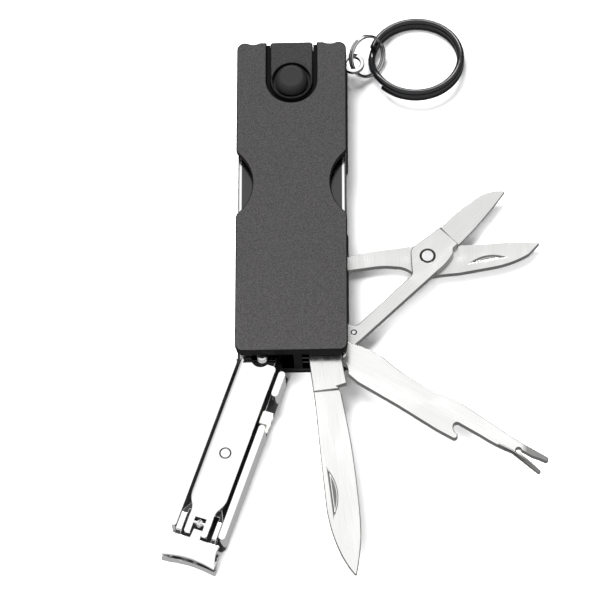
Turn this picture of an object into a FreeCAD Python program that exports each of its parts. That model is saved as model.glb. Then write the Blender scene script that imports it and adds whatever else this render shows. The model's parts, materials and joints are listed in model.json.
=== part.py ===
import FreeCAD, Part
import math
import os

import Sketcher

# Key-ring multi tool: a flat body with a nail clipper in the left bay and a knife, an opener and
# a pair of scissors stacked in the right bay, a lamp module and a ring lug at the upper end.
# Frame: origin at the centre of the underside, +X to the right, +Y towards the lamp, +Z up.
# The tools are drawn opened out. Each tool is drawn about its own pin, pointing along +Y,
# and its Placement turns it to where it stands.

DIMENSIONS = [
    # body
    ("body_length", 87.4),
    ("body_width", 28.2),
    ("corner_radius", 2.0),
    ("cover_thick", 1.4),
    ("liner_thick", 0.5),
    ("liner_inset", 0.4),
    ("frame_inset", 1.2),
    ("frame_thick", 1.75),
    ("edge_break", 0.25),
    ("scoop_radius", 11.3),
    ("scoop_depth", 4.2),
    ("scoop_centre", 3.1),
    ("spine_left", 0.35),
    ("spine_right", 2.45),
    ("spine_top", 27.0),
    ("bay_top", 24.7),
    # layers, measured up from the underside
    ("liner_level", 1.4),
    ("bay_level", 1.9),
    ("lever_level", 2.0),
    ("scissors_level", 3.75),
    ("low_divider_level", 5.55),
    ("opener_level", 6.15),
    ("high_divider_level", 8.05),
    ("knife_level", 8.65),
    ("upper_liner_level", 10.55),
    ("frame_level", 11.05),
    ("top_cover_level", 12.8),
    ("top_level", 14.2),
    # tools in the right bay
    ("tool_thick", 1.8),
    ("scissors_thick", 1.7),
    ("tool_pin_x", 7.9),
    ("tool_pin_y", -40.2),
    ("tool_pin_radius", 1.5),
    ("tang_radius", 3.9),
    ("pin_head_radius", 2.5),
    ("pin_head_thick", 0.5),
    ("pin_clearance", 0.05),
    ("knife_angle", -173.0),
    ("opener_angle", -121.0),
    ("scissors_angle", -45.0),
    ("scissors_rivet_x", 0.2),
    ("scissors_rivet_y", 37.1),
    ("scissors_rivet_radius", 1.0),
    ("scissors_rivet_head", 1.85),
    ("scissors_lever_angle", 45.0),
    ("spring_rivet_x", 1.7),
    ("spring_rivet_y", 8.9),
    ("spring_rivet_radius", 0.6),
    ("rivet_head_thick", 0.5),
    ("rivet_sink", 0.55),
    ("scissors_tip_room", 1.3),
    ("nick_depth", 0.4),
    ("nick_slope", -45.0),
    ("backspring_thick", 0.9),
    ("backspring_eye_x", 4.0),
    ("backspring_eye_y", 25.2),
    ("spring_pin_radius", 0.6),
    # nail clipper, drawn about its swing pin
    ("clipper_pin_x", -6.47),
    ("clipper_pin_y", -39.2),
    ("clipper_pin_radius", 1.2),
    ("clipper_bush_radius", 1.8),
    ("clipper_angle", 161.3),
    ("clipper_offset", -0.34),
    ("clipper_half_width", 7.01),
    ("casing_wall", 1.4),
    ("catch_wall", 1.7),
    ("casing_floor", 0.6),
    ("casing_level", 2.0),
    ("casing_top", 8.9),
    ("casing_rear", 6.2),
    ("casing_front", 53.2),
    ("catch_gap_low", 13.2),
    ("catch_gap_high", 21.4),
    ("jaw_shoulder", 54.9),
    ("jaw_edge", 60.9),
    ("jaw_gap", 1.3),
    ("jaw_thick", 1.1),
    ("upper_jaw_level", 7.7),
    ("lower_jaw_level", 2.65),
    ("jaw_rivet_y", 4.1),
    ("jaw_rivet_radius", 0.8),
    ("jaw_rivet_head", 1.3),
    ("post_y", 51.2),
    ("post_radius", 1.0),
    ("lever_pin_radius", 0.45),
    ("lever_pin_level", 9.7),
    ("lever_underside", 9.0),
    ("lever_top", 10.4),
    ("lever_half_width", 4.5),
    ("lever_bend", 0.65),
    ("lever_rear", 6.2),
    ("lever_front", 54.5),
    ("lever_rivet_y", 31.9),
    ("lever_rivet_radius", 1.5),
    # small fasteners
    ("spring_head_radius", 1.1),
    ("screw_radius", 0.7),
    ("screw_head_radius", 1.35),
    ("screw_head_thick", 0.6),
    # lamp module
    ("module_half_width", 5.45),
    ("module_gap", 1.0),
    ("button_y", 32.6),
    ("button_radius", 4.15),
    ("button_well_radius", 4.85),
    ("button_flat_radius", 2.7),
    ("button_top", 16.1),
    ("button_base", 11.8),
    ("button_flange", 0.7),
    ("cell_radius", 3.95),
    ("cell_thick", 3.0),
    ("cell_level", 2.75),
    ("contact_level", 2.52),
    ("contact_thick", 0.2),
    ("board_level", 9.8),
    ("board_thick", 0.6),
    ("board_hole", 0.5),
    ("lead_width", 0.4),
    ("lead_top", 9.78),
    ("lamp_radius", 1.5),
    ("lamp_level", 6.2),
    # ring lug and rings
    ("lug_x", 15.8),
    ("lug_y", 40.95),
    ("lug_eye_radius", 2.85),
    ("lug_hole_radius", 1.75),
    ("lug_level", 6.2),
    ("lug_thick", 1.2),
    ("lug_pin_x", 9.6),
    ("lug_pin_y", 36.5),
    ("key_ring_x", 32.12),
    ("key_ring_y", 43.39),
    ("key_ring_radius", 11.6),
    ("key_ring_wire", 0.95),
    ("key_ring_lean", 8.6),
    ("small_ring_x", 19.39),
    ("small_ring_y", 43.87),
    ("small_ring_z", 5.36),
    ("small_ring_radius", 5.3),
    ("small_ring_wire", 0.4),
    ("small_ring_lean", 52.8),
    ("small_ring_heading", -38.5),
]

doc = FreeCAD.newDocument("multi_tool")
sheet = doc.addObject("Spreadsheet::Sheet", "Sizes")
for row, (alias, value) in enumerate(DIMENSIONS, start=1):
    sheet.set(f"A{row}", alias)
    sheet.set(f"B{row}", str(value))
    sheet.setAlias(f"B{row}", alias)
doc.recompute()

PARTS = []


def size(alias):
    return float(sheet.get(alias))


# ---------------------------------------------------------------- drawing helpers

def arc(centre, radius, start, end):
    """The middle and end points of an arc about centre, angles in degrees."""
    points = []
    for angle in ((start + end) / 2, end):
        turn = math.radians(angle)
        points.append((centre[0] + radius * math.cos(turn), centre[1] + radius * math.sin(turn)))
    return tuple(points)


def on_circle(centre, radius, angle):
    turn = math.radians(angle)
    return (centre[0] + radius * math.cos(turn), centre[1] + radius * math.sin(turn))


def shifted(moves, dx):
    """The same outline moved along X."""
    moved = []
    for move in moves:
        if isinstance(move[0], tuple):
            moved.append(tuple((x + dx, y) for x, y in move))
        else:
            moved.append((move[0] + dx, move[1]))
    return moved


def draw_outline(sketch, moves):
    """Close an outline: a move is the (x, y) end of a straight run, or ((x, y), (x, y)) for
    an arc's middle and end."""
    here = moves[-1][1] if isinstance(moves[-1][0], tuple) else moves[-1]
    start = FreeCAD.Vector(here[0], here[1], 0)
    edges = []
    for move in moves:
        if isinstance(move[0], tuple):
            middle = FreeCAD.Vector(move[0][0], move[0][1], 0)
            end = FreeCAD.Vector(move[1][0], move[1][1], 0)
            geometry = Part.Arc(start, middle, end)
        else:
            end = FreeCAD.Vector(move[0], move[1], 0)
            geometry = Part.LineSegment(start, end)
        edges.append((sketch.addGeometry(geometry, False), start, end))
        start = end
    for index, (edge, first, last) in enumerate(edges):
        following = edges[(index + 1) % len(edges)]
        here_end = nearest_end(sketch, edge, last)
        next_end = nearest_end(sketch, following[0], last)
        sketch.addConstraint(Sketcher.Constraint("Coincident", edge, here_end, following[0], next_end))


def nearest_end(sketch, edge, point):
    """1 for an edge's start, 2 for its end, whichever lies on the point."""
    to_start = sketch.getPoint(edge, 1).distanceToPoint(point)
    to_end = sketch.getPoint(edge, 2).distanceToPoint(point)
    return 1 if to_start < to_end else 2


def draw_circle(sketch, x, y, radius):
    """A circle whose radius is an expression of the sheet's cells."""
    value = size_of(radius)
    circle = Part.Circle(FreeCAD.Vector(x, y, 0), FreeCAD.Vector(0, 0, 1), value)
    edge = sketch.addGeometry(circle, False)
    index = sketch.addConstraint(Sketcher.Constraint("Radius", edge, value))
    sketch.setExpression(f"Constraints[{index}]", radius)


def size_of(expression):
    """The value of an expression of the sheet's cells, such as Sizes.post_radius + 0.1."""
    return float(sheet.evalExpression(expression))


def new_body(name):
    body = doc.addObject("PartDesign::Body", name)
    body.Label = name
    PARTS.append(body)
    return body


def stand_at(body, x, y, angle):
    """Turn a body about its pin and stand the pin at x, y. All three are expressions."""
    up = FreeCAD.Vector(0, 0, 1)
    turn = FreeCAD.Rotation(up, size_of(angle))
    body.Placement = FreeCAD.Placement(FreeCAD.Vector(size_of(x), size_of(y), 0), turn)
    body.setExpression(".Placement.Base.x", x)
    body.setExpression(".Placement.Base.y", y)
    body.setExpression(".Placement.Rotation.Angle", f"({angle}) * 1 deg")


def new_sketch(body, outlines, circles, plane, level):
    sketch = body.newObject("Sketcher::SketchObject", body.Name + "_sketch")
    for feature in body.Origin.OriginFeatures:
        if feature.Role == plane:
            sketch.AttachmentSupport = [(feature, "")]
    sketch.MapMode = "FlatFace"
    sketch.setExpression("AttachmentOffset.Base.z", level)
    for outline in outlines:
        draw_outline(sketch, outline)
    for x, y, radius in circles:
        draw_circle(sketch, x, y, radius)
    return sketch


def pad(body, level, height, outlines=(), circles=(), plane="XY_Plane"):
    """Raise the outlines by height from a level. Level and height are expressions."""
    feature = body.newObject("PartDesign::Pad", body.Name + "_pad")
    feature.Profile = new_sketch(body, outlines, circles, plane, level)
    feature.setExpression("Length", height)
    doc.recompute()
    return feature


def pocket(body, level, depth, outlines=(), circles=(), plane="XY_Plane", upward=False):
    """Cut the outlines down from a level by depth, or up from it."""
    before = body.Shape.Volume
    feature = body.newObject("PartDesign::Pocket", body.Name + "_pocket")
    feature.Profile = new_sketch(body, outlines, circles, plane, level)
    feature.setExpression("Length", depth)
    feature.Reversed = upward
    doc.recompute()
    if body.Shape.Volume > before - 1e-3:
        raise RuntimeError(f"{body.Name}: a pocket cuts nothing")
    return feature


def break_edges(body, heights, amount):
    """Chamfer all the edges of the flat faces that lie at the given heights."""
    base = body.Tip
    names = []
    for index, face in enumerate(base.Shape.Faces, start=1):
        normal = face.normalAt(0, 0)
        flat = isinstance(face.Surface, Part.Plane) and abs(normal.z) > 0.999
        if flat and any(abs(face.CenterOfMass.z - height) < 1e-4 for height in heights):
            names.append(f"Face{index}")
    chamfer = body.newObject("PartDesign::Chamfer", body.Name + "_chamfer")
    chamfer.Base = (base, names)
    chamfer.setExpression("Size", amount)
    doc.recompute()


POLE = 0.2    # radius of the small flat that a turned dome ends in


def revolve(body, profile, x, y):
    """Turn a half profile of (radius, height) moves about the vertical line through x, y."""
    sketch = body.newObject("Sketcher::SketchObject", body.Name + "_sketch")
    for feature in body.Origin.OriginFeatures:
        if feature.Role == "XZ_Plane":
            sketch.AttachmentSupport = [(feature, "")]
    sketch.MapMode = "FlatFace"
    draw_outline(sketch, profile)
    feature = body.newObject("PartDesign::Revolution", body.Name + "_turning")
    feature.Profile = sketch
    feature.ReferenceAxis = (sketch, ["V_Axis"])
    feature.Angle = 360
    if x is not None:
        body.Placement.Base = FreeCAD.Vector(size_of(x), size_of(y), 0)
        body.setExpression(".Placement.Base.x", x)
        body.setExpression(".Placement.Base.y", y)
    doc.recompute()
    return feature


# ---------------------------------------------------------------- body: covers, liners, spine

def plate_outline(inset, corner, scoop_radius, notch=None, ears=False):
    """The body's outline, counter-clockwise from the lower left, with a finger scoop each side.
    notch is the half width of a slot that runs down from the top end and ends round."""
    half_w = size("body_width") / 2 - inset
    half_l = size("body_length") / 2 - inset
    scoop_x = size("body_width") / 2 - size("scoop_depth") + size("scoop_radius")
    scoop_y = size("scoop_centre")
    moves = [(half_w - corner, -half_l), arc((half_w - corner, -half_l + corner), corner, -90, 0)]
    if scoop_radius:
        moves += scoop_moves(half_w, scoop_x, scoop_y, scoop_radius)
    moves.append((half_w, half_l - corner))
    moves.append(arc((half_w - corner, half_l - corner), corner, 0, 90))
    top = []
    if ears:
        top += [(11.7, half_l), ((9.9, half_l - 0.45), (8.1, half_l))]
    if notch:
        middle = (0, size("button_y"))
        top += [(notch, half_l), (notch, middle[1]), arc(middle, notch, 0, -180), (-notch, half_l)]
    if ears:
        top += [(-8.1, half_l), ((-9.9, half_l - 0.45), (-11.7, half_l))]
    moves += top
    moves.append((-half_w + corner, half_l))
    moves.append(arc((-half_w + corner, half_l - corner), corner, 90, 180))
    if scoop_radius:
        moves += mirrored(scoop_moves(half_w, scoop_x, scoop_y, scoop_radius))
    moves.append((-half_w, -half_l + corner))
    moves.append(arc((-half_w + corner, -half_l + corner), corner, 180, 270))
    return moves


def scoop_moves(half_w, scoop_x, scoop_y, radius):
    """A round bite out of the right edge with rounded shoulders, going up."""
    shoulder = 2.0
    reach = math.sqrt((radius + shoulder) ** 2 - (scoop_x - half_w + shoulder) ** 2)
    lower = (half_w - shoulder, scoop_y - reach)
    upper = (half_w - shoulder, scoop_y + reach)
    tilt = math.degrees(math.atan2(reach, scoop_x - half_w + shoulder))
    return [
        (half_w, scoop_y - reach),
        arc(lower, shoulder, 0, tilt),
        arc((scoop_x, scoop_y), radius, 180 + tilt, 180 - tilt),
        arc(upper, shoulder, -tilt, 0),
    ]


def mirrored(moves):
    """Moves up the right edge, turned into moves down the left edge."""
    ends = [move[1] if isinstance(move[0], tuple) else move for move in moves]
    back = [(-ends[-1][0], ends[-1][1])]
    for index in range(len(moves) - 1, 0, -1):
        end = (-ends[index - 1][0], ends[index - 1][1])
        if isinstance(moves[index][0], tuple):
            middle = moves[index][0]
            back.append(((-middle[0], middle[1]), end))
        else:
            back.append(end)
    return back


def rectangle(left, low, right, high):
    return [(right, low), (right, high), (left, high), (left, low)]


TOOL_PIN = (size("tool_pin_x"), size("tool_pin_y"))
CLIPPER_PIN = (size("clipper_pin_x"), size("clipper_pin_y"))
SPRING_PIN = (size("backspring_eye_x"), size("backspring_eye_y"))
LUG_PIN = (size("lug_pin_x"), size("lug_pin_y"))
SCREWS = [(-11.2, -39.6), (11.6, -30.5), (-10.5, 37.5), (10.9, 30.0)]


def make_bottom_cover():
    body = new_body("bottom_cover")
    screw_holes = [(x, y, "Sizes.screw_radius + 0.02") for x, y in SCREWS]
    outline = plate_outline(0, size("corner_radius"), size("scoop_radius"), ears=True)
    pad(body, "0", "Sizes.cover_thick", [outline], screw_holes)
    break_edges(body, [0], "Sizes.edge_break")
    heads = [(*TOOL_PIN, "Sizes.pin_head_radius + 0.1"), (*CLIPPER_PIN, "Sizes.pin_head_radius + 0.1")]
    heads += [(*SPRING_PIN, "Sizes.spring_head_radius + 0.1"), (*LUG_PIN, "Sizes.spring_head_radius + 0.1")]
    pocket(body, "Sizes.cover_thick", "Sizes.pin_head_thick + 0.1", circles=heads)
    sinks = [(x, y, "Sizes.screw_head_radius + 0.03") for x, y in SCREWS]
    pocket(body, "0", "Sizes.screw_head_thick", circles=sinks, upward=True)


def make_liner(name, level):
    body = new_body(name)
    holes = [(*TOOL_PIN, "Sizes.tool_pin_radius + 0.02"), (*CLIPPER_PIN, "Sizes.clipper_pin_radius + 0.02")]
    holes += [(*SPRING_PIN, "Sizes.spring_pin_radius + 0.02"), (*LUG_PIN, "Sizes.spring_pin_radius + 0.02")]
    notch = size("module_half_width") + 0.1
    if name == "lower_liner":
        holes += [(x, y, "Sizes.screw_radius + 0.02") for x, y in SCREWS]
    outline = plate_outline(size("liner_inset"), size("corner_radius"), None, notch=notch)
    pad(body, level, "Sizes.liner_thick", [outline], holes)


def make_upper_frame():
    """The dark plate between the top cover and the upper liner, cut back behind the scoops."""
    body = new_body("upper_frame")
    heads = [(*TOOL_PIN, "Sizes.pin_head_radius + 0.1"), (*CLIPPER_PIN, "Sizes.pin_head_radius + 0.1")]
    heads += [(*SPRING_PIN, "Sizes.spring_head_radius + 0.1"), (*LUG_PIN, "Sizes.spring_head_radius + 0.1")]
    outline = plate_outline(0.15, size("corner_radius"), size("scoop_radius") + size("frame_inset"),
                            notch=size("module_half_width") + 0.1, ears=True)
    pad(body, "Sizes.frame_level", "Sizes.frame_thick", [outline], heads)


def make_top_cover():
    body = new_body("top_cover")
    notch = size("module_half_width") + size("module_gap")
    outline = plate_outline(0, size("corner_radius"), size("scoop_radius"), notch=notch, ears=True)
    pad(body, "Sizes.top_cover_level", "Sizes.cover_thick", [outline])
    break_edges(body, [size("top_level")], "Sizes.edge_break")


def make_centre_spine():
    """The wall between the bays, with a window for the scissors' lever and a recess beside
    each backspring."""
    body = new_body("centre_spine")
    left = size("spine_left")
    right = size("spine_right")
    low = -size("body_length") / 2 + size("liner_inset")
    outline = rectangle(left, low, right, size("spine_top"))
    pad(body, "Sizes.bay_level", "Sizes.upper_liner_level - Sizes.bay_level", [outline])
    window = rectangle(left - 1, -26.0, right + 1, 3.0)
    pocket(body, "Sizes.scissors_level", "Sizes.scissors_level - Sizes.bay_level", [window])
    recess = rectangle(right - size("backspring_thick") - 0.05, -39.2, right + 1, size("spine_top") + 1)
    for level, thick in BACKSPRINGS.values():
        pocket(body, f"{level} + {thick} + 0.05", f"{thick} + 0.1", [recess])


def divider_outline():
    """The right bay's outline, narrowed past the lamp module."""
    left = size("spine_right") + 0.1
    right = size("body_width") / 2 - size("liner_inset")
    low = -size("body_length") / 2 + size("liner_inset")
    high = size("body_length") / 2 - size("liner_inset")
    corner = size("corner_radius")
    beside = size("module_half_width") + size("module_gap") + 0.5
    return [
        (right - corner, low),
        arc((right - corner, low + corner), corner, -90, 0),
        (right, high - corner),
        arc((right - corner, high - corner), corner, 0, 90),
        (beside, high),
        (beside, size("spine_top") - 0.2),
        (left, size("spine_top") - 0.2),
        (left, low),
    ]


def make_divider(name, level):
    body = new_body(name)
    holes = [(*TOOL_PIN, "Sizes.tool_pin_radius + 0.02"), (*SPRING_PIN, "Sizes.spring_pin_radius + 0.02")]
    holes.append((*LUG_PIN, "Sizes.spring_pin_radius + 0.02"))
    pad(body, level, "Sizes.liner_thick", [divider_outline()], holes)


def make_backspring(name, level, thick):
    """A leaf in the spine's recess: a foot that bears on the tool's tang, and an eye at the top."""
    body = new_body(name)
    right = size("spine_right")
    left = right - size("backspring_thick")
    eye = SPRING_PIN
    touch = size("tool_pin_x") - size("tang_radius") - 0.06
    outline = [
        (left, -36.8),
        ((left + 0.3, -37.8), (left + 1.0, -38.4)),
        (touch - 0.35, -38.9),
        (touch - 0.2, -37.6),
        ((right + 0.15, -36.9), (right, -36.0)),
        (right, eye[1] - 2.2),
        ((right + 0.3, eye[1] - 1.5), (right + 0.9, eye[1] - 1.25)),
        arc(eye, 1.45, -120, 90),
        (left + 1.0, eye[1] + 1.45),
        ((left + 0.3, eye[1] + 1.1), (left, eye[1] + 0.4)),
    ]
    pad(body, level, thick, [outline], [(*eye, "Sizes.spring_pin_radius + 0.02")])


BACKSPRINGS = {
    "knife_backspring": ("Sizes.knife_level", "Sizes.tool_thick"),
    "opener_backspring": ("Sizes.opener_level", "Sizes.tool_thick"),
    "scissors_backspring": ("Sizes.scissors_level", "Sizes.scissors_thick"),
}


def make_pin(name, x, y, radius, head, head_thick):
    """A headed pin that holds the two liners together."""
    body = new_body(name)
    shaft = size_of(radius)
    wide = size_of(head)
    low = size("liner_level")
    high = size("frame_level")
    cap = size_of(head_thick)
    profile = [(0, low - cap), (wide, low - cap), (wide, low), (shaft, low), (shaft, high)]
    profile += [(wide, high), (wide, high + cap), (0, high + cap)]
    revolve(body, profile, x, y)


def make_end_spacers():
    """Blocks that hold the layers apart beyond the tools, left and right of the lamp module."""
    left = new_body("left_spacer")
    edge = -size("body_width") / 2 + 0.25
    beside = -size("module_half_width") - 0.1
    high = size("body_length") / 2 - 0.3
    outline = [(beside, size("bay_top")), (beside, high), (edge + 1.8, high)]
    outline += [arc((edge + 1.8, high - 1.8), 1.8, 90, 180), (edge, size("bay_top"))]
    pad(left, "Sizes.bay_level", "Sizes.upper_liner_level - Sizes.bay_level", [outline])

    edge = size("body_width") / 2 - 0.25
    beside = size("module_half_width") + size("module_gap") + 0.4
    outline = [(edge, high - 1.8), arc((edge - 1.8, high - 1.8), 1.8, 0, 90)]
    outline += [(beside, high)]
    pin = [(*LUG_PIN, "Sizes.spring_pin_radius + 0.02")]
    low = new_body("right_spacer_low")
    above_scissors = size("bay_top") + size("scissors_tip_room")
    foot = [(beside, above_scissors), (edge, above_scissors)]
    pad(low, "Sizes.bay_level", "Sizes.low_divider_level - Sizes.bay_level", [outline + foot], pin)
    top = new_body("right_spacer_top")
    foot = [(beside, size("bay_top")), (edge, size("bay_top"))]
    pad(top, "Sizes.high_divider_level + Sizes.liner_thick",
        "Sizes.upper_liner_level - Sizes.high_divider_level - Sizes.liner_thick", [outline + foot], pin)


def make_ring_lug():
    """A flat plate clamped between the dividers, with an eye outside the body's right edge."""
    body = new_body("ring_lug")
    eye = (size("lug_x"), size("lug_y"))
    radius = size("lug_eye_radius")
    outline = [
        on_circle(eye, radius, -130),
        arc(eye, radius, -130, 130),
        (13.0, 43.2),
        (7.4, 43.2),
        (7.4, 33.5),
        (12.4, 33.5),
        (13.2, 35.5),
        (13.2, 38.6),
    ]
    holes = [(*eye, "Sizes.lug_hole_radius"), (*LUG_PIN, "Sizes.spring_pin_radius + 0.02")]
    pad(body, "Sizes.lug_level", "Sizes.lug_thick", [outline], holes)


def make_cover_screws():
    """Four countersunk screws that hold the underside's cover to the frame."""
    body = new_body("cover_screws")
    circles = [(x, y, "Sizes.screw_radius") for x, y in SCREWS]
    pad(body, "Sizes.screw_head_thick", "Sizes.bay_level - Sizes.screw_head_thick", circles=circles)
    heads = [(x, y, "Sizes.screw_head_radius") for x, y in SCREWS]
    pad(body, "0.05", "Sizes.screw_head_thick - 0.05", circles=heads)
    slots = [rectangle(x - 0.9, y - 0.15, x + 0.9, y + 0.15) for x, y in SCREWS]
    pocket(body, "0", "0.35", slots, upward=True)


# ---------------------------------------------------------------- folding tools

def stand_on_tool_pin(body, angle):
    stand_at(body, "Sizes.tool_pin_x", "Sizes.tool_pin_y", angle)


def tang(to_angle=360):
    """The round end of a tool about its pin, from the left side round the rear."""
    return arc((0, 0), size("tang_radius"), 180, to_angle)


def grind(body, start, level, thick, edge, back, faces):
    """Taper a blade from its back to its edge beyond start along +Y. faces holds 1 for the
    upper face and -1 for the lower one."""
    beyond = edge + math.copysign(1.5, edge - back)
    edge_half = 0.15
    low = size_of(level)
    half = size_of(thick) / 2
    middle = low + half
    if len(faces) == 1:
        middle -= faces[0] * (half - edge_half)
    for face in faces:
        surface = low + half + face * half
        slope = (middle + face * edge_half - surface) / (edge - back)
        wedge = [(back, surface + face * 0.5), (back, surface)]
        wedge += [(beyond, surface + slope * (beyond - back)), (beyond, surface + face * 0.5)]
        pocket(body, f"-({start})", "70", [wedge], plane="XZ_Plane")


def cut_nick(body, surface, outline):
    """A groove for a fingernail, with sides that slope in to its floor."""
    nick = pocket(body, surface, "Sizes.nick_depth", [outline])
    nick.setExpression("TaperAngle", "Sizes.nick_slope")
    doc.recompute()


def make_knife():
    body = new_body("knife_blade")
    outline = [
        tang(),
        (4.15, 4.0),
        (4.1, 16.0),
        ((4.5, 29.0), (4.77, 42.0)),
        ((4.45, 48.8), (3.1, 55.2)),
        ((1.8, 58.8), (0.1, 62.0)),
        (-0.35, 62.1),
        ((-1.7, 57.3), (-2.75, 52.2)),
        ((-3.2, 47.0), (-3.42, 41.0)),
        ((-3.55, 33.0), (-3.35, 24.0)),
        (-2.7, 13.8),
        ((-2.35, 12.7), (-1.9, 12.1)),
        (-4.4, 11.6),
        (-4.1, 6.5),
        (-3.9, 0.0),
    ]
    pin = [(0, 0, "Sizes.tool_pin_radius + Sizes.pin_clearance")]
    pad(body, "Sizes.knife_level", "Sizes.tool_thick", [outline], pin)
    grind(body, 12.8, "Sizes.knife_level", "Sizes.tool_thick", -3.5, 5.0, (1, -1))
    nick = [(3.35, 47.0), ((1.24, 40.5), (3.35, 33.1))]
    cut_nick(body, "Sizes.knife_level + Sizes.tool_thick", nick)
    stand_on_tool_pin(body, "Sizes.knife_angle")


def make_opener():
    body = new_body("opener_blade")
    outline = [
        tang(390),
        ((1.75, 4.3), (1.3, 7.0)),
        ((2.0, 8.1), (3.3, 8.9)),
        (4.0, 12.3),
        (4.4, 23.9),
        (5.2, 35.6),
        (5.2, 40.1),
        ((4.6, 41.0), (3.6, 40.6)),
        ((3.0, 39.2), (2.1, 38.7)),
        ((1.3, 38.8), (0.95, 39.6)),
        (1.15, 46.0),
        ((1.3, 50.5), (1.0, 54.6)),
        (2.45, 62.6),
        ((2.15, 63.25), (1.55, 63.0)),
        (0.15, 56.4),
        ((-0.2, 55.2), (-0.5, 56.4)),
        (-0.45, 59.6),
        (-0.8, 61.4),
        (-0.9, 62.8),
        ((-1.5, 63.45), (-2.15, 62.9)),
        (-2.3, 54.8),
        (-3.0, 48.0),
        (-3.6, 41.7),
        ((-3.95, 36.5), (-3.5, 30.2)),
        ((-3.6, 23.5), (-4.5, 17.0)),
        ((-5.2, 12.8), (-5.0, 8.5)),
        (-4.3, 4.4),
        (-3.9, 0.0),
    ]
    pin = [(0, 0, "Sizes.tool_pin_radius + Sizes.pin_clearance")]
    pad(body, "Sizes.opener_level", "Sizes.tool_thick", [outline], pin)
    prong_root = 51.0
    grind(body, prong_root, "Sizes.opener_level", "Sizes.tool_thick", 2.7, 0.75, (1,))
    stand_on_tool_pin(body, "Sizes.opener_angle")


def make_scissors_arm():
    """The blade that folds on the tool pin. The other blade is riveted to it."""
    body = new_body("scissors_arm")
    outline = [
        tang(),
        (4.5, 8.7),
        (5.0, 36.0),
        ((4.95, 39.5), (4.4, 42.2)),
        (3.4, 43.2),
        ((2.95, 53.5), (1.5, 64.1)),
        (1.1, 64.0),
        ((-0.9, 61.9), (-2.3, 58.4)),
        ((-2.95, 53.0), (-3.0, 46.6)),
        (-4.1, 37.2),
        ((-4.15, 35.8), (-3.6, 34.8)),
        (0.3, 31.3),
        ((0.85, 30.7), (1.0, 29.8)),
        (1.0, 12.2),
        ((0.55, 10.5), (-0.6, 9.6)),
        (-3.2, 7.0),
        (-3.9, 3.6),
        (-3.9, 0.0),
    ]
    rivet = (size("scissors_rivet_x"), size("scissors_rivet_y"))
    holes = [
        (0, 0, "Sizes.tool_pin_radius + Sizes.pin_clearance"),
        (*rivet, "Sizes.scissors_rivet_radius + 0.02"),
        (size("spring_rivet_x"), size("spring_rivet_y"), "Sizes.spring_rivet_radius + 0.02"),
    ]
    pad(body, "Sizes.scissors_level", "Sizes.scissors_thick", [outline], holes)
    grind(body, 45.0, "Sizes.scissors_level", "Sizes.scissors_thick", 3.4, -3.6, (1,))
    head = [(*rivet, "Sizes.scissors_rivet_head + 0.03")]
    pocket(body, "Sizes.scissors_level + Sizes.scissors_thick", "Sizes.rivet_sink", circles=head)
    stand_on_tool_pin(body, "Sizes.scissors_angle")


RIVET_AT_X = ("Sizes.tool_pin_x + Sizes.scissors_rivet_x * cos(Sizes.scissors_angle * 1 deg)"
              " - Sizes.scissors_rivet_y * sin(Sizes.scissors_angle * 1 deg)")
RIVET_AT_Y = ("Sizes.tool_pin_y + Sizes.scissors_rivet_x * sin(Sizes.scissors_angle * 1 deg)"
              " + Sizes.scissors_rivet_y * cos(Sizes.scissors_angle * 1 deg)")


def make_scissors_lever():
    """The second blade and its handle in one, drawn about the rivet with the handle to the left."""
    body = new_body("scissors_lever")
    outline = [
        (-14.6, -2.2),
        ((-11.0, -1.9), (-8.1, -2.1)),
        ((-5.6, -2.7), (-3.9, -3.9)),
        ((-0.5, -4.9), (2.9, -4.6)),
        (8.1, -4.15),
        (17.2, -2.5),
        ((21.8, -1.1), (25.7, 0.9)),
        (28.4, 3.9),
        (28.1, 4.15),
        ((21.5, 4.2), (14.7, 3.8)),
        (7.7, 3.6),
        ((2.2, 4.6), (-3.5, 3.6)),
        (-14.5, 2.2),
        (-20.0, 1.0),
        (-23.0, 0.2),
        ((-24.4, -1.3), (-23.2, -2.8)),
        (-20.0, -2.9),
    ]
    pad(body, "Sizes.lever_level", "Sizes.scissors_thick", [outline],
        [(0, 0, "Sizes.scissors_rivet_radius + Sizes.pin_clearance")])
    head = [(0, 0, "Sizes.scissors_rivet_head + 0.08")]
    pocket(body, "Sizes.lever_level", "Sizes.rivet_sink", circles=head, upward=True)
    nick = [(20.0, 0.1), ((14.6, 0.6), (10.4, -1.6))]
    cut_nick(body, "Sizes.lever_level + Sizes.scissors_thick", nick)
    stand_at(body, RIVET_AT_X, RIVET_AT_Y, "Sizes.scissors_lever_angle + Sizes.scissors_angle")


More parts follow.
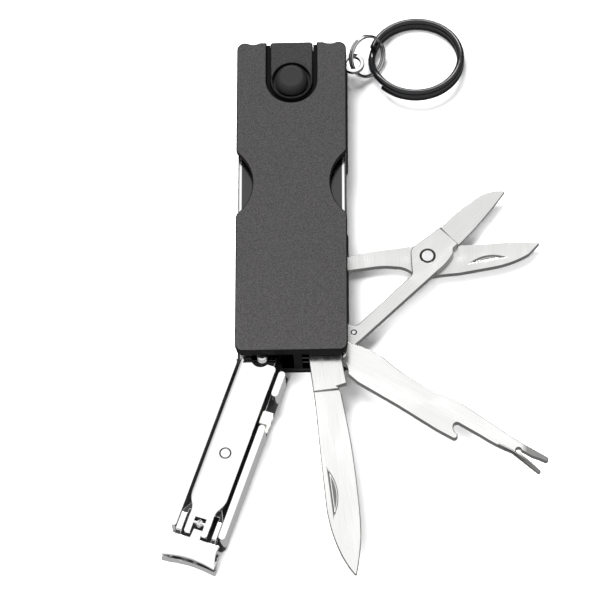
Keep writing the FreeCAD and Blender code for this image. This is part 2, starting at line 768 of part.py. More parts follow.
def make_scissors_fittings():
    """The rivet, the leaf that opens the blades with its small rivet, and the pin's washer."""
    rivet = new_body("scissors_rivet")
    low = size("lever_level")
    high = size("scissors_level") + size("scissors_thick")
    shaft = size("scissors_rivet_radius")
    head = size("scissors_rivet_head")
    cap = size("rivet_head_thick")
    profile = [(0, low), (head, low), (head, low + cap), (shaft, low + cap), (shaft, high - cap)]
    profile += [(head, high - cap), (head, high), (0, high)]
    revolve(rivet, profile, RIVET_AT_X, RIVET_AT_Y)

    spring = new_body("scissors_spring")
    eye = (size("spring_rivet_x"), size("spring_rivet_y"))
    outline = [
        arc(eye, 1.2, 110, 360),
        ((3.15, 10.6), (3.45, 13.0)),
        (3.75, 26.5),
        (3.35, 26.5),
        (2.95, 13.2),
        ((2.55, 11.3), on_circle(eye, 1.2, 110)),
    ]
    pad(spring, "Sizes.lever_level + 0.1", "Sizes.scissors_thick - 0.1", [outline],
        [(*eye, "Sizes.spring_rivet_radius + 0.02")])
    stand_on_tool_pin(spring, "Sizes.scissors_angle")

    pin = new_body("spring_rivet")
    circles = [(*eye, "Sizes.spring_rivet_radius")]
    pad(pin, "Sizes.lever_level + 0.1", "2 * Sizes.scissors_thick - 0.05", circles=circles)
    stand_on_tool_pin(pin, "Sizes.scissors_angle")

    washer = new_body("tool_pin_washer")
    circles = [(0, 0, "3.0"), (0, 0, "Sizes.tool_pin_radius + 0.02")]
    pad(washer, "Sizes.bay_level", "Sizes.scissors_level - Sizes.bay_level - 0.05", circles=circles)
    stand_on_tool_pin(washer, "0")


# ---------------------------------------------------------------- nail clipper

def stand_on_clipper_pin(body):
    stand_at(body, "Sizes.clipper_pin_x", "Sizes.clipper_pin_y", "Sizes.clipper_angle")


MIDLINE = size("clipper_offset")
HALF = size("clipper_half_width")
JAW_RIVET = (MIDLINE, size("jaw_rivet_y"))
POST = (MIDLINE, size("post_y"))


def make_clipper_casing():
    """A tray with a wall along each side. The wall that faces out has a gap for the catch."""
    body = new_body("clipper_casing")
    left = MIDLINE - HALF
    right = MIDLINE + HALF
    wall = size("casing_wall")
    catch_wall = size("catch_wall")
    front = size("casing_front")
    rear = size("casing_rear")
    gap_low = size("catch_gap_low")
    gap_high = size("catch_gap_high")
    floor = [
        arc((0, 0), 3.6, 160, 380),
        (right, 4.4),
        (right, front),
        (right - 0.6, front + 1.0),
        (left + 0.6, front + 1.0),
        (left, front),
        (left, 5.2),
        (left + 1.2, 4.4),
        on_circle((0, 0), 3.6, 160),
    ]
    holes = [(0, 0, "Sizes.clipper_bush_radius + 0.02"), (*POST, "Sizes.post_radius + 0.9")]
    holes.append((*JAW_RIVET, "Sizes.jaw_rivet_radius + 0.02"))
    pad(body, "Sizes.casing_level", "Sizes.casing_floor", [floor], holes)
    walls = [
        rounded_bar(right - wall, rear, right, front),
        rounded_bar(left, rear, left + catch_wall, gap_low),
        rounded_bar(left, gap_high, left + catch_wall, front),
    ]
    top = "Sizes.casing_top - Sizes.casing_level - Sizes.casing_floor"
    pad(body, "Sizes.casing_level + Sizes.casing_floor", top, walls)
    sill = [rectangle(left, gap_low - 0.8, left + catch_wall, gap_high + 0.8)]
    pad(body, "Sizes.casing_level + Sizes.casing_floor", "0.9", sill)
    stand_on_clipper_pin(body)


def rounded_bar(left, low, right, high):
    """A bar along Y with round ends."""
    radius = (right - left) / 2
    middle = (left + right) / 2
    return [
        arc((middle, high - radius), radius, 0, 180),
        (left, low + radius),
        arc((middle, low + radius), radius, 180, 360),
        (right, high - radius),
    ]


def make_lower_jaw():
    """A flat arm with the lower cutting jaw turned up at its front."""
    body = new_body("lower_jaw")
    level = size("lower_jaw_level")
    thick = size("jaw_thick")
    edge = size("jaw_edge")
    lip = size("upper_jaw_level") - 0.65 - size("jaw_gap")
    profile = [
        (edge - 5.3, level),
        (edge - 4.8, level - 0.5),
        (edge - 0.6, level - 0.5),
        ((edge + 0.1, level + 1.0), (edge + 0.15, level + 2.0)),
        (edge, lip),
        (edge - 0.25, lip),
        ((edge - 2.2, level + thick + 0.35), (edge - 4.6, level + thick)),
        (2.2, level + thick),
        (2.2, level),
    ]
    pad(body, "Sizes.clipper_offset - Sizes.clipper_half_width + 0.1", "2 * Sizes.clipper_half_width - 0.2",
        [profile], plane="YZ_Plane")
    waist = 4.6
    shoulder = size("jaw_shoulder") + 0.5
    for side in (-1, 1):
        pocket(body, "0.5", "12", [jaw_waist(side)], upward=True)
        cut = [
            (MIDLINE + side * 8.0, 1.0),
            (MIDLINE + side * 8.0, shoulder),
            (MIDLINE + side * waist, shoulder),
            (MIDLINE + side * waist, 1.0),
        ]
        pocket(body, "0.5", "12", [cut], upward=True)
    holes = [(*JAW_RIVET, "Sizes.jaw_rivet_radius + 0.02")]
    holes.append((*POST, "Sizes.post_radius + Sizes.pin_clearance"))
    pocket(body, "0.5", "12", circles=holes, upward=True)
    pocket(body, "0.5", "12", [jaw_front(edge)], upward=True)
    stand_on_clipper_pin(body)


def jaw_front(edge):
    """What the concave front of the jaws leaves out."""
    far = edge + 4.0
    return [
        (MIDLINE + 8.0, edge + 0.1),
        (MIDLINE + 8.0, far),
        (MIDLINE - 8.0, far),
        (MIDLINE - 8.0, edge + 0.1),
        (MIDLINE - HALF, edge),
        ((MIDLINE, edge - 1.0), (MIDLINE + HALF, edge)),
    ]


def jaw_waist(side):
    """What the jaws leave out behind the corner of their front edge."""
    outer = MIDLINE + side * (HALF + 1.0)
    hip = MIDLINE + side * (HALF - 0.45)
    waist = MIDLINE + side * (HALF - 0.8)
    corner = MIDLINE + side * (HALF - 0.2)
    rear = size("jaw_shoulder") - 0.5
    return [
        (outer, rear),
        (hip, rear),
        ((waist, rear + 2.6), (corner, size("jaw_edge") - 1.2)),
        (outer, size("jaw_edge") - 1.2),
    ]


def make_upper_jaw():
    """A flat arm that opens into two side bars about the post, with the cutting jaw in front."""
    body = new_body("upper_jaw")
    level = size("upper_jaw_level")
    thick = size("jaw_thick")
    edge = size("jaw_edge")
    lip = level - 0.65
    profile = [
        (edge - 4.2, level),
        ((edge - 2.2, level - 0.2), (edge - 0.9, lip)),
        (edge, lip),
        (edge, lip + 0.2),
        ((edge - 2.2, level + thick - 0.35), (edge - 5.2, level + thick)),
        (2.4, level + thick),
        (2.4, level),
    ]
    pad(body, "Sizes.clipper_offset - Sizes.clipper_half_width + 0.1", "2 * Sizes.clipper_half_width - 0.2",
        [profile], plane="YZ_Plane")
    arm = 3.6
    shoulder = size("jaw_shoulder")
    for side, wall in ((-1, size("catch_wall")), (1, size("casing_wall"))):
        bar = HALF - wall - 0.2
        pocket(body, "4", "8", [jaw_waist(side)], upward=True)
        cut = [
            (MIDLINE + side * 8.0, 1.0),
            (MIDLINE + side * 8.0, shoulder),
            (MIDLINE + side * bar, shoulder),
            (MIDLINE + side * bar, 48.4),
            (MIDLINE + side * arm, 45.2),
            (MIDLINE + side * arm, 1.0),
        ]
        pocket(body, "4", "8", [cut], upward=True)
    reach = size("lever_front") - size("post_y")
    window = shifted([
        (-3.9, size("post_y") - reach - 0.15),
        (3.9, size("post_y") - reach - 0.15),
        (3.9, shoulder),
        (1.3, shoulder),
        (1.1, POST[1] + 1.25),
        (-1.1, POST[1] + 1.25),
        (-1.3, shoulder),
        (-3.9, shoulder),
    ], MIDLINE)
    pocket(body, "4", "8", [window], upward=True)
    post_bars = [
        shifted(rectangle(-7.0, shoulder - 1.2, -2.0, shoulder), MIDLINE),
        shifted(rectangle(2.0, shoulder - 1.2, 7.0, shoulder), MIDLINE),
        shifted(rectangle(-7.0, 44.6, 7.0, 49.0), MIDLINE),
    ]
    pocket(body, "Sizes.upper_jaw_level + Sizes.jaw_thick", "0.55", post_bars)
    pocket(body, "4", "8", circles=[(*JAW_RIVET, "Sizes.jaw_rivet_radius + 0.1")], upward=True)
    pocket(body, "4", "8", [jaw_front(edge)], upward=True)
    stand_on_clipper_pin(body)


def make_clipper_rivet_and_bush():
    """The rear rivet that spaces and joins the jaws, and the bush that swings on the clipper's
    pin."""
    rivet = new_body("clipper_rivet")
    shaft = size("jaw_rivet_radius")
    head = size("jaw_rivet_head")
    jaw = size("upper_jaw_level")
    profile = [
        (0, size("casing_level")),
        (shaft, size("casing_level")),
        (shaft, size("lower_jaw_level") + size("jaw_thick") + 0.02),
        (head, size("lower_jaw_level") + size("jaw_thick") + 0.02),
        (head, jaw - 0.1),
        (shaft, jaw - 0.1),
        (shaft, jaw + size("jaw_thick") + 0.1),
        (head, jaw + size("jaw_thick") + 0.1),
        (head, jaw + size("jaw_thick") + 0.6),
        ((head * 0.75, jaw + size("jaw_thick") + 0.85), (POLE, jaw + size("jaw_thick") + 0.95)),
        (0, jaw + size("jaw_thick") + 0.95),
    ]
    revolve(rivet, profile, None, None)
    turned = FreeCAD.Rotation(FreeCAD.Vector(0, 0, 1), size("clipper_angle"))
    place = turned.multVec(FreeCAD.Vector(JAW_RIVET[0], JAW_RIVET[1], 0))
    rivet.Placement.Base = place + FreeCAD.Vector(CLIPPER_PIN[0], CLIPPER_PIN[1], 0)

    bush = new_body("clipper_bush")
    circles = [(0, 0, "Sizes.clipper_bush_radius"), (0, 0, "Sizes.clipper_pin_radius + Sizes.pin_clearance")]
    pad(bush, "Sizes.casing_level", "Sizes.lever_top - Sizes.casing_level", circles=circles)
    stand_on_clipper_pin(bush)


def make_lever_post():
    """The headed post that pulls the jaws together, and the cross pin that the lever turns on."""
    post = new_body("lever_post")
    base = size("casing_level") + 0.05
    radius = size("post_radius")
    floor = size("lower_jaw_level") - 0.05
    top = size("lever_top") - 0.15
    profile = [(0, base), (radius + 0.8, base), (radius + 0.8, floor), (radius, floor)]
    profile += [(radius, top - 0.25), (radius - 0.25, top), (0, top)]
    revolve(post, profile, None, None)
    turned = FreeCAD.Rotation(FreeCAD.Vector(0, 0, 1), size("clipper_angle"))
    place = turned.multVec(FreeCAD.Vector(POST[0], POST[1], 0))
    place += FreeCAD.Vector(CLIPPER_PIN[0], CLIPPER_PIN[1], 0)
    hole = [(0, size("lever_pin_level"), "Sizes.lever_pin_radius + 0.01")]
    pocket(post, "-3", "6", circles=hole, plane="YZ_Plane", upward=True)
    post.Placement = FreeCAD.Placement(place, turned)

    pin = new_body("lever_pin")
    circle = [(size("post_y"), size("lever_pin_level"), "Sizes.lever_pin_radius")]
    pad(pin, "Sizes.clipper_offset - 2.75", "5.5", circles=circle, plane="YZ_Plane")
    stand_on_clipper_pin(pin)


def make_clipper_lever():
    """A pressed lever with turned-down sides, notched at the rear round the jaws' rivet and
    forked at the front about the post."""
    body = new_body("clipper_lever")
    half = size("lever_half_width")
    rear = size("lever_rear")
    front = size("lever_front")
    neck = 2.95
    slot = 1.45
    notch = 2.4
    rise = 1.0
    far_rear = rear - 1.6
    notch_y = JAW_RIVET[1] + rise
    dip = math.degrees(math.asin((rear - notch_y) / notch))
    half_neck = [(half, 43.0), ((half - 0.35, 45.3), (neck + 0.35, 46.9)), ((neck, 48.2), (neck, 49.6))]
    outline = [
        (notch + 0.15, far_rear),
        (half - 0.8, far_rear),
        ((half - 0.25, far_rear + 0.2), (half, far_rear + 0.9)),
        *half_neck,
        (neck, front - 0.7),
        ((neck - 0.35, front - 0.05), (neck - 0.7, front)),
        (slot + 0.3, front),
        (slot, front - 0.3),
        (slot, POST[1] - 1.3),
        (-slot, POST[1] - 1.3),
        (-slot, front - 0.3),
        (-slot - 0.3, front),
        (-neck + 0.7, front),
        ((-neck + 0.35, front - 0.05), (-neck, front - 0.7)),
        (-neck, 49.6),
        ((-neck, 48.2), (-neck - 0.35, 46.9)),
        ((-half + 0.35, 45.3), (-half, 43.0)),
        (-half, rear + 0.9),
        ((-half + 0.25, rear + 0.2), (-half + 0.8, rear)),
        on_circle((0, notch_y), notch, 180 - dip),
        arc((0, notch_y), notch, 180 - dip, 0),
    ]
    rivet = [(MIDLINE, size("lever_rivet_y"), "Sizes.lever_rivet_radius + 0.02")]
    pad(body, "Sizes.lever_underside", "Sizes.lever_top - Sizes.lever_underside",
        [shifted(outline, MIDLINE)], rivet)
    bend = size("lever_bend")
    level = size("lever_top") - bend
    beyond = 0.5
    catch_low = size("catch_gap_low") - 0.4
    catch_high = size("catch_gap_high") + 3.5
    for side, from_angle in ((1, 0), (-1, 180)):
        corner = MIDLINE + side * half
        outside = [
            (corner - side * bend, level + bend + beyond),
            (corner + side * beyond, level + bend + beyond),
            (corner + side * beyond, level),
            arc((corner - side * bend, level), bend, from_angle, 90),
        ]
        spans = ((4, 60),) if side > 0 else ((4, catch_low), (catch_high, 60))
        for low, high in spans:
            pocket(body, f"-({low})", f"{high} - {low}", [outside], plane="XZ_Plane")
    hollow = shifted(rectangle(-half + 0.7, 9.4, half - 0.7, 42.8), MIDLINE)
    pocket(body, "Sizes.lever_underside", "0.7", [hollow], upward=True)
    hole = [(size("post_y"), size("lever_pin_level"), "Sizes.lever_pin_radius + Sizes.pin_clearance")]
    pocket(body, "Sizes.clipper_offset - 5", "10", circles=hole, plane="YZ_Plane", upward=True)
    stand_on_clipper_pin(body)

    rivet = new_body("lever_rivet")
    circle = [(MIDLINE, size("lever_rivet_y"), "Sizes.lever_rivet_radius")]
    pad(rivet, "Sizes.lever_underside + 0.6", "Sizes.lever_top - Sizes.lever_underside - 0.6", circles=circle)
    stand_on_clipper_pin(rivet)


def make_lever_catch():
    """A small slider in the gap of the casing's wall, with a thumb tab on top."""
    body = new_body("lever_catch")
    left = MIDLINE - HALF
    wall = size("catch_wall")
    stem = rectangle(left + 0.1, 17.8, left + wall - 0.1, 21.0)
    pad(body, "Sizes.casing_level + 1.6", "Sizes.casing_top - Sizes.casing_level - 2.5", [stem])
    tab = [
        (left - 0.6, 17.6),
        (left + wall + 0.05, 17.6),
        (left + wall + 0.35, 18.0),
        (left + wall + 0.35, 21.0),
        (left - 0.1, 21.0),
        (left - 0.1, 22.4),
        ((left - 0.45, 23.0), (left - 0.8, 22.4)),
        (left - 0.8, 21.6),
        (left - 1.0, 20.9),
        (left - 0.7, 19.9),
        (left - 1.0, 19.0),
        (left - 0.7, 18.2),
    ]
    pad(body, "Sizes.casing_top - 0.9", "0.95", [tab])
    stand_on_clipper_pin(body)


# ---------------------------------------------------------------- lamp module

def module_outline(half):
    """Straight sides that run down from the top end into a round."""
    middle = (0, size("button_y"))
    end = size("body_length") / 2 - 0.1
    return [
        arc(middle, half, 180, 360),
        (half, end - 0.5),
        (half - 0.5, end),
        (-half + 0.5, end),
        (-half, end - 0.5),
        (-half, middle[1]),
    ]


def make_lamp_module():
    middle = (0, size("button_y"))
    half = size("module_half_width")
    end = size("body_length") / 2 - 0.1

    cover = new_body("light_cover")
    well = [(*middle, "Sizes.button_well_radius")]
    pad(cover, "Sizes.top_cover_level", "Sizes.cover_thick", [module_outline(half)], well)
    break_edges(cover, [size("top_level")], "0.2")

    housing = new_body("light_housing")
    pad(housing, "Sizes.bay_level - 0.45", "Sizes.top_cover_level - Sizes.bay_level + 0.4",
        [module_outline(half)])
    pocket(housing, "Sizes.top_cover_level", "1.8", circles=[(*middle, "Sizes.button_radius + 1.0")])
    board_room = rectangle(-4.6, 28.6, 4.6, end - 1.2)
    pocket(housing, "Sizes.frame_level", "Sizes.frame_level - Sizes.board_level + 0.05", [board_room])
    pocket(housing, "Sizes.board_level", "Sizes.board_level - Sizes.contact_level + 0.02",
           circles=[(*middle, "Sizes.cell_radius + 0.1")])
    lamp = [(0, size("lamp_level") + size("lamp_radius"), "Sizes.lamp_radius + 0.1")]
    pocket(housing, f"-{end}", "5.8", circles=lamp, plane="XZ_Plane", upward=True)
    lead_room = rectangle(-1.2, 36.9, 1.2, 38.4)
    pocket(housing, "Sizes.board_level", "3.6", [lead_room])

    contact = new_body("battery_contact")
    strip = [(*middle, "Sizes.cell_radius - 0.2"), (*middle, "1.2")]
    pad(contact, "Sizes.contact_level", "Sizes.contact_thick", circles=strip)

    cells = new_body("button_cells")
    for index in range(2):
        level = f"Sizes.cell_level + {index} * (Sizes.cell_thick + 0.05)"
        pad(cells, level, "Sizes.cell_thick", circles=[(*middle, "Sizes.cell_radius")])

    board = new_body("circuit_board")
    pad(board, "Sizes.board_level", "Sizes.board_thick", [rectangle(-4.5, 28.8, 4.5, end - 1.4)],
        [(0, 39.6, "Sizes.board_hole")])

    dome = new_body("switch_dome")
    foot = size("board_level") + size("board_thick") + 0.02
    rise = foot + 0.53
    sheet_thick = 0.2
    profile = [(0, rise), (POLE, rise), ((1.6, rise - 0.1), (2.6, foot)), (2.9, foot)]
    profile += [((1.8, rise + 0.05), (POLE, rise + sheet_thick)), (0, rise + sheet_thick)]
    revolve(dome, profile, "0", "Sizes.button_y")

    button = new_body("light_button")
    wide = size("button_radius")
    flat = size("button_flat_radius")
    top = size("button_top")
    base = size("button_base")
    flange = base + size("button_flange")
    profile = [
        (0, base),
        (wide + 0.85, base),
        (wide + 0.85, flange),
        (wide, flange),
        (wide, top - 2.2),
        ((wide - 0.3, top - 1.0), (flat + 0.35, top - 0.1)),
        ((flat + 0.2, top - 0.02), (flat, top)),
        (0, top - 0.15),
    ]
    revolve(button, profile, "0", "Sizes.button_y")


LAMP_REAR = 37.95


def make_lamp():
    lamp = new_body("led_lamp")
    radius = size("lamp_radius")
    profile = [(0, 0), (radius + 0.05, 0), (radius + 0.05, 0.8), (radius, 0.8), (radius, 3.9)]
    profile += [((radius * 0.75, 5.1), (POLE, 5.55)), (0, 5.55)]
    revolve(lamp, profile, None, None)
    along = FreeCAD.Rotation(FreeCAD.Vector(1, 0, 0), -90)
    centre = FreeCAD.Vector(0, LAMP_REAR, size("lamp_level") + radius)
    lamp.Placement = FreeCAD.Placement(centre, along)

    leads = new_body("led_leads")
    half = size("lead_width") / 2
    rear = 37.35
    level = "Sizes.lamp_level + Sizes.lamp_radius - Sizes.lead_width / 2"
    wires = [rectangle(x - half, rear, x + half, rear + 2 * half) for x in (-0.7, 0.7)]
    pad(leads, level, f"Sizes.lead_top - ({level})", wires)
    feet = [rectangle(x - half, rear, x + half, LAMP_REAR) for x in (-0.7, 0.7)]
    pad(leads, level, "Sizes.lead_width", feet)


# ---------------------------------------------------------------- rings

TURN_PITCH = 1.9    # rise from one turn of a split ring to the next, in wire radii


def make_split_ring(name, radius, wire, place):
    """Two turns of round wire that just run into each other, one above the other."""
    turns = []
    for index in range(2):
        turn = doc.addObject("Part::Torus", f"{name}_turn_{index}")
        turn.setExpression("Radius1", radius)
        turn.setExpression("Radius2", wire)
        turn.setExpression(".Placement.Base.z", f"{wire} * (1 + {TURN_PITCH} * {index})")
        turns.append(turn)
    ring = doc.addObject("Part::MultiFuse", name)
    ring.Label = name
    ring.Shapes = turns
    ring.Placement = place
    PARTS.append(ring)
    doc.recompute()
    return ring


def make_small_ring():
    """The ring through the lug's eye, leaning towards its heading."""
    up = FreeCAD.Vector(0, 0, 1)
    heading = FreeCAD.Rotation(up, size("small_ring_heading"))
    lean = heading.multiply(FreeCAD.Rotation(FreeCAD.Vector(0, 1, 0), size("small_ring_lean")))
    centre = FreeCAD.Vector(size("small_ring_x"), size("small_ring_y"), size("small_ring_z"))
    middle = (1 + TURN_PITCH / 2) * size("small_ring_wire")
    make_split_ring("small_ring", "Sizes.small_ring_radius", "Sizes.small_ring_wire",
                    FreeCAD.Placement(centre - lean.multVec(up * middle), lean))


def make_key_ring():
    """The ring for keys: its far edge lies on the ground, its near edge on the small ring."""
    lean = FreeCAD.Rotation(FreeCAD.Vector(1, 0, 0), -size("key_ring_lean"))
    slope = math.radians(size("key_ring_lean"))
    raised = size("key_ring_radius") * math.sin(slope) + size("key_ring_wire") * (1 - math.cos(slope))
    base = FreeCAD.Vector(size("key_ring_x"), size("key_ring_y"), raised)
    make_split_ring("key_ring", "Sizes.key_ring_radius", "Sizes.key_ring_wire",
                    FreeCAD.Placement(base, lean))


# ---------------------------------------------------------------- build and write

make_bottom_cover()
make_liner("lower_liner", "Sizes.liner_level")
make_liner("upper_liner", "Sizes.upper_liner_level")
make_upper_frame()
make_top_cover()
make_centre_spine()
make_divider("low_divider", "Sizes.low_divider_level")
make_divider("high_divider", "Sizes.high_divider_level")
for name, (level, thick) in BACKSPRINGS.items():
    make_backspring(name, level, thick)
make_pin("tool_pin", "Sizes.tool_pin_x", "Sizes.tool_pin_y", "Sizes.tool_pin_radius",
         "Sizes.pin_head_radius", "Sizes.pin_head_thick")
make_pin("clipper_pin", "Sizes.clipper_pin_x", "Sizes.clipper_pin_y", "Sizes.clipper_pin_radius",
         "Sizes.pin_head_radius", "Sizes.pin_head_thick")
make_pin("spring_pin", "Sizes.backspring_eye_x", "Sizes.backspring_eye_y", "Sizes.spring_pin_radius",
         "Sizes.spring_head_radius", "0.4")
make_pin("lug_pin", "Sizes.lug_pin_x", "Sizes.lug_pin_y", "Sizes.spring_pin_radius",
         "Sizes.spring_head_radius", "0.4")
make_end_spacers()
make_ring_lug()
make_cover_screws()
make_knife()
make_opener()
make_scissors_arm()
make_scissors_lever()
make_scissors_fittings()
make_clipper_casing()
make_lower_jaw()
make_upper_jaw()
make_clipper_rivet_and_bush()
make_lever_post()
make_clipper_lever()
make_lever_catch()
make_lamp_module()
make_lamp()
make_small_ring()
make_key_ring()

doc.recompute()
for item in doc.Objects:
    if "Invalid" in item.State or "Error" in item.State:
        raise RuntimeError(f"{item.Label} failed: {item.State}")
for part in PARTS:
    if part.Shape.isNull() or not part.Shape.isValid():
        raise RuntimeError(f"{part.Label} has no valid shape")

os.makedirs("parts", exist_ok=True)
for part in PARTS:
    part.Shape.exportStep(f"parts/{part.Label}.step")
    box = part.Shape.BoundBox
    print(f"{part.Label:20s} {part.Shape.Volume:9.2f} mm3  {len(part.Shape.Solids)} solid(s)  "
          f"x {box.XMin:.2f}..{box.XMax:.2f}  y {box.YMin:.2f}..{box.YMax:.2f}  z {box.ZMin:.2f}..{box.ZMax:.2f}")
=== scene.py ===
import json
import math

import bmesh
import bpy
import numpy as np
from mathutils import Matrix, Vector


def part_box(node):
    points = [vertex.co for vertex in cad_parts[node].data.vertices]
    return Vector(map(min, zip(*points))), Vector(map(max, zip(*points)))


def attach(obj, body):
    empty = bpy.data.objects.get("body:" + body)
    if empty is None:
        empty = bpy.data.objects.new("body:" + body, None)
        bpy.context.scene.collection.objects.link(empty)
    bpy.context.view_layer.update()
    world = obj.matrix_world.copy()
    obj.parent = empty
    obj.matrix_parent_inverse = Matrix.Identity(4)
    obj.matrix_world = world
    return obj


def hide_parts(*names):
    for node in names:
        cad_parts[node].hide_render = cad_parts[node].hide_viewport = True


# Key-ring multi tool on a white floor. Metres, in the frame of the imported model.
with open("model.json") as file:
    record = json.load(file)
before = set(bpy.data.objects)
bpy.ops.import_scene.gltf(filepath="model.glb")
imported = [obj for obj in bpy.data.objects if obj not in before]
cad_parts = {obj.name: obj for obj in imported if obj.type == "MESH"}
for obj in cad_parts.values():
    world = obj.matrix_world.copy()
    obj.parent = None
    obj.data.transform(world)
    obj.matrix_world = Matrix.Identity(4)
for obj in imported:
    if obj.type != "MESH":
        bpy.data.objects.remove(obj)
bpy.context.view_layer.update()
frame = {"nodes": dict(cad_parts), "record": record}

MM = 0.001
SLOT_OF = {part["node"]: part["material_slot"] for part in frame["record"]["subparts"]}
BODY_OF = {}
for body_name, members in frame["record"]["behaviour"]["bodies"].items():
    for member in members:
        BODY_OF[member] = body_name


# ---------------------------------------------------------------- camera, floor and light

CAMERA_TILT = math.radians(25.0)
CAMERA_TURN = math.radians(2.0)
CAMERA_DISTANCE = 0.9
CAMERA_AIM = (2.2 * MM, -30.0 * MM)
NEAREST_SEEN = 0.01
LENS = 216
SENSOR = 36

DOME_LEVEL = 0.55
GROUND_LEVEL = 0.42
WALL_LEVEL = 0.03
HAZE_LEVEL = 0.35
CEILING_LEVEL = 1.14
# What reflections see: a height, from -1 straight down to 1 straight up, and its brightness.
GLOSSY_ROOM = (
    (-0.45, GROUND_LEVEL), (-0.15, WALL_LEVEL), (0.08, WALL_LEVEL), (0.25, HAZE_LEVEL),
    (0.72, CEILING_LEVEL),
)

# Places and sizes in metres, power in watts. A reflected light lights no matte surface.
LIGHTS = {
    "key_light": {"place": (-0.16, 0.30, 0.84), "aim": (0, 0, 0), "width": 0.40, "height": 0.40,
                  "power": 13.0, "reflected": False},
    "near_light": {"place": (-0.05, -0.15, 0.13), "aim": (0, -0.03, 0), "width": 0.08, "height": 0.08,
                   "power": 0.40, "reflected": False},
    "soft_box": {"place": (0.05, 0.75, 0.50), "aim": (0, 0, 0), "width": 0.50, "height": 0.16,
                 "power": 6.4, "reflected": True},
}
FLOOR_REACH = 3.0
FLOOR_GAP = 0.02 * MM


def make_camera():
    """A long lens that looks down on the tool, leaning back towards -Y."""
    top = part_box("top_cover")[1].z
    aim = Vector((*CAMERA_AIM, top))
    toward = Vector((math.sin(CAMERA_TURN), -math.sin(CAMERA_TILT) * math.cos(CAMERA_TURN),
                     math.cos(CAMERA_TILT) * math.cos(CAMERA_TURN))).normalized()
    right = Vector((0, 1, 0)).cross(toward).normalized()
    up = toward.cross(right)
    data = bpy.data.cameras.new("camera")
    data.lens = LENS
    data.sensor_width = SENSOR
    data.clip_start = NEAREST_SEEN
    camera = bpy.data.objects.new("camera", data)
    camera.matrix_world = matrix_of(right, up, toward, aim + toward * CAMERA_DISTANCE)
    bpy.context.scene.collection.objects.link(camera)
    bpy.context.scene.camera = camera


def matrix_of(x_axis, y_axis, z_axis, origin):
    """A placement from its three axes and its origin."""
    rows = Matrix((x_axis, y_axis, z_axis)).transposed().to_4x4()
    rows.translation = origin
    return rows


def make_area_light(name, place, aim, width, height, power, reflected):
    """A rectangular light, for reflections only if reflected, and otherwise for matte surfaces only."""
    data = bpy.data.lights.new(name, "AREA")
    data.shape = "RECTANGLE"
    data.size = width
    data.size_y = height
    data.energy = power
    light = bpy.data.objects.new(name, data)
    light.location = place
    light.rotation_euler = (Vector(aim) - Vector(place)).to_track_quat("-Z", "Y").to_euler()
    light.visible_glossy = reflected
    light.visible_diffuse = not reflected
    bpy.context.scene.collection.objects.link(light)


def make_world():
    """An even, dim dome. Polished surfaces see a room instead, with a white ceiling over dark walls."""
    world = bpy.data.worlds.new("studio")
    bpy.context.scene.world = world
    world.use_nodes = True
    nodes = world.node_tree.nodes
    links = world.node_tree.links
    dome = nodes["Background"]
    dome.inputs["Color"].default_value = (DOME_LEVEL, DOME_LEVEL, DOME_LEVEL, 1)
    room = nodes.new("ShaderNodeBackground")
    where = nodes.new("ShaderNodeTexCoord")
    split = nodes.new("ShaderNodeSeparateXYZ")
    rise = nodes.new("ShaderNodeMapRange")
    rise.inputs["From Min"].default_value = -1
    rise.inputs["From Max"].default_value = 1
    ramp = nodes.new("ShaderNodeValToRGB")
    stops = ramp.color_ramp.elements
    stops.remove(stops[-1])
    for index, (height, level) in enumerate(GLOSSY_ROOM):
        position = (height + 1) / 2
        stop = stops.new(position) if index else stops[0]
        stop.position = position
        stop.color = (level, level, level, 1)
    links.new(where.outputs["Generated"], split.inputs[0])
    links.new(split.outputs["Z"], rise.inputs["Value"])
    links.new(rise.outputs["Result"], ramp.inputs[0])
    links.new(ramp.outputs[0], room.inputs[0])
    path = nodes.new("ShaderNodeLightPath")
    choice = nodes.new("ShaderNodeMixShader")
    links.new(path.outputs["Is Glossy Ray"], choice.inputs[0])
    links.new(dome.outputs[0], choice.inputs[1])
    links.new(room.outputs[0], choice.inputs[2])
    links.new(choice.outputs[0], nodes["World Output"].inputs[0])


def make_floor():
    """A white floor just under the tool. Reflections don't see it."""
    mesh = bpy.data.meshes.new("floor")
    corners = [(-FLOOR_REACH, -FLOOR_REACH, 0), (FLOOR_REACH, -FLOOR_REACH, 0),
               (FLOOR_REACH, FLOOR_REACH, 0), (-FLOOR_REACH, FLOOR_REACH, 0)]
    mesh.from_pydata(corners, [], [(0, 1, 2, 3)])
    floor = bpy.data.objects.new("floor", mesh)
    floor.location.z = -FLOOR_GAP
    floor.visible_glossy = False
    bpy.context.scene.collection.objects.link(floor)
    floor.data.materials.append(make_floor_material())


def make_studio():
    """The room, the lights, the floor and how bright tones are shown."""
    make_world()
    for name, light in LIGHTS.items():
        make_area_light(name, **light)
    make_floor()
    view = bpy.context.scene.view_settings
    view.view_transform = "Standard"
    view.look = "None"


# ---------------------------------------------------------------- materials

# Most of a noise texture's values lie in the first range. The second leaves more of them dark.
NOISE_RANGE = (0.3, 0.7)
RUB_RANGE = (0.35, 0.75)
RANGE_SOCKETS = ("From Min", "From Max", "To Min", "To Max")

# How fine the patterns are: the scale of each noise texture, per metre.
COAT_GRAIN = 4200
COAT_CLOUD = 60
BRUSH_LINES = 9000
BRUSH_CLOUD = 320
LINER_HAZE = 900
CHROME_HAZE = 420
RUB_MARKS = 700
CLEAR_HAZE = 900
FLOOR_CLOUD = 3

# How deep the patterns are.
COAT_DEPTH = 0.03 * MM
PLASTIC_DEPTH = 0.01 * MM
BRUSH_DEPTH = 0.006 * MM

# Painted shade on the opener's prongs: the colour darkens from this X over this length, both in mm, to
# this share of the colour.
PRONG_SHADE_START = 56.5
PRONG_SHADE_FADE = 1.5
PRONG_SHADE_LEVEL = 0.32
# Painted reflection on a liner: its bright band fades in and out between these distances from the middle.
LINER_REFLECTION_FADE_IN = (12.75 * MM, 12.85 * MM)
LINER_REFLECTION_FADE_OUT = (13.35 * MM, 13.45 * MM)


